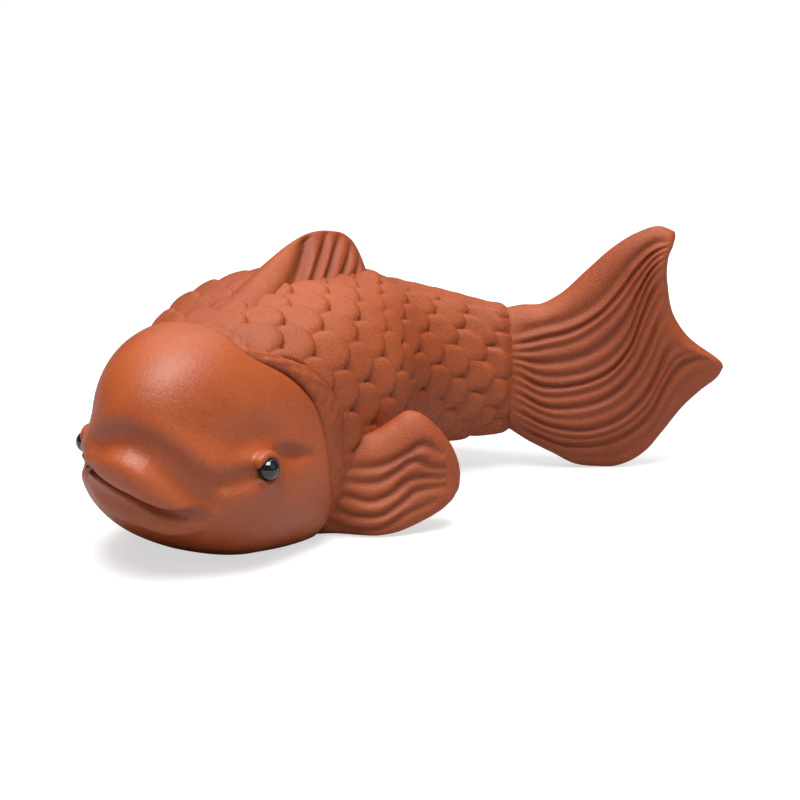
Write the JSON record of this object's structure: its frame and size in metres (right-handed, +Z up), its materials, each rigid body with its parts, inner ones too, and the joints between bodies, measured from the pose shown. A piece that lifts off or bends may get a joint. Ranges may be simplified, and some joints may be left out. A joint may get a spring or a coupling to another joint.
{
  "type": "fish figurine",
  "caption": "Hollow fired-clay fish curled to its left, with domed head, scaled body, thick ribbed fins, a raised two-lobed tail, glass bead eyes and a flat belly to stand on.",
  "frame": {"origin": "middle of the flat belly face under the head and shoulders, on the ground", "axes": "+X from the muzzle towards the tail along the longest extent, +Y to the fish's right, +Z up"},
  "size_m": [0.1428, 0.0733, 0.0526],
  "materials": {
    "burnished_clay": "burnished",
    "rough_clay": "matt",
    "bead_glass": "gloss"
  },
  "bodies": {
    "root": {"head_shell": "burnished_clay", "upper_lip": "burnished_clay", "lower_lip": "burnished_clay", "eyelid_left": "burnished_clay", "eyelid_right": "burnished_clay", "eye_left": "bead_glass", "eye_right": "bead_glass", "gill_collar": "rough_clay", "body_shell": "rough_clay", "dorsal_fin": "rough_clay", "pectoral_fin_left": "rough_clay", "pectoral_fin_right": "rough_clay", "tail_fin": "rough_clay"}
  },
  "joints": []
}
